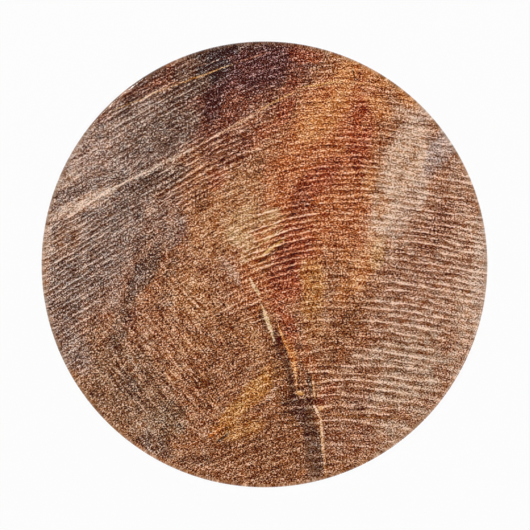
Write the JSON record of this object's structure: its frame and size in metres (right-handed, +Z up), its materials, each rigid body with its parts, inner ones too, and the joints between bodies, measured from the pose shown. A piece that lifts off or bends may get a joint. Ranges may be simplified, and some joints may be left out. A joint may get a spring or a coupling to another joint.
{
  "type": "cutting board",
  "caption": "Round flat cutting board of dimpled glass with a sawn-wood picture printed on its back, standing on low rubber feet.",
  "frame": {"origin": "under the middle of the board, on the surface that the feet stand on", "axes": "+Z up out of the chopping face; +X right and +Y away from the user, with the picture the way up that the picture shows"},
  "size_m": [0.305, 0.305, 0.0077],
  "materials": {
    "glass": "clear tempered glass, dimpled face, polished edge",
    "line_ink": "printed ink, pale tan",
    "crack_ink": "printed ink, dark brown",
    "ground_ink": "printed ink, wood brown",
    "white_ink": "white sealing coat, matt",
    "glue": "clear acrylic glue pad",
    "silicone": "clear soft bumper, smooth"
  },
  "bodies": {
    "root": {"glass_disc": "glass", "print_ring_lines": "line_ink", "print_cracks": "crack_ink", "print_ground": "ground_ink", "white_coat": "white_ink", "glue_pad_front_left": "glue", "glue_pad_front_right": "glue", "glue_pad_back_right": "glue", "glue_pad_back_left": "glue", "foot_front_left": "silicone", "foot_front_right": "silicone", "foot_back_right": "silicone", "foot_back_left": "silicone"}
  },
  "joints": []
}
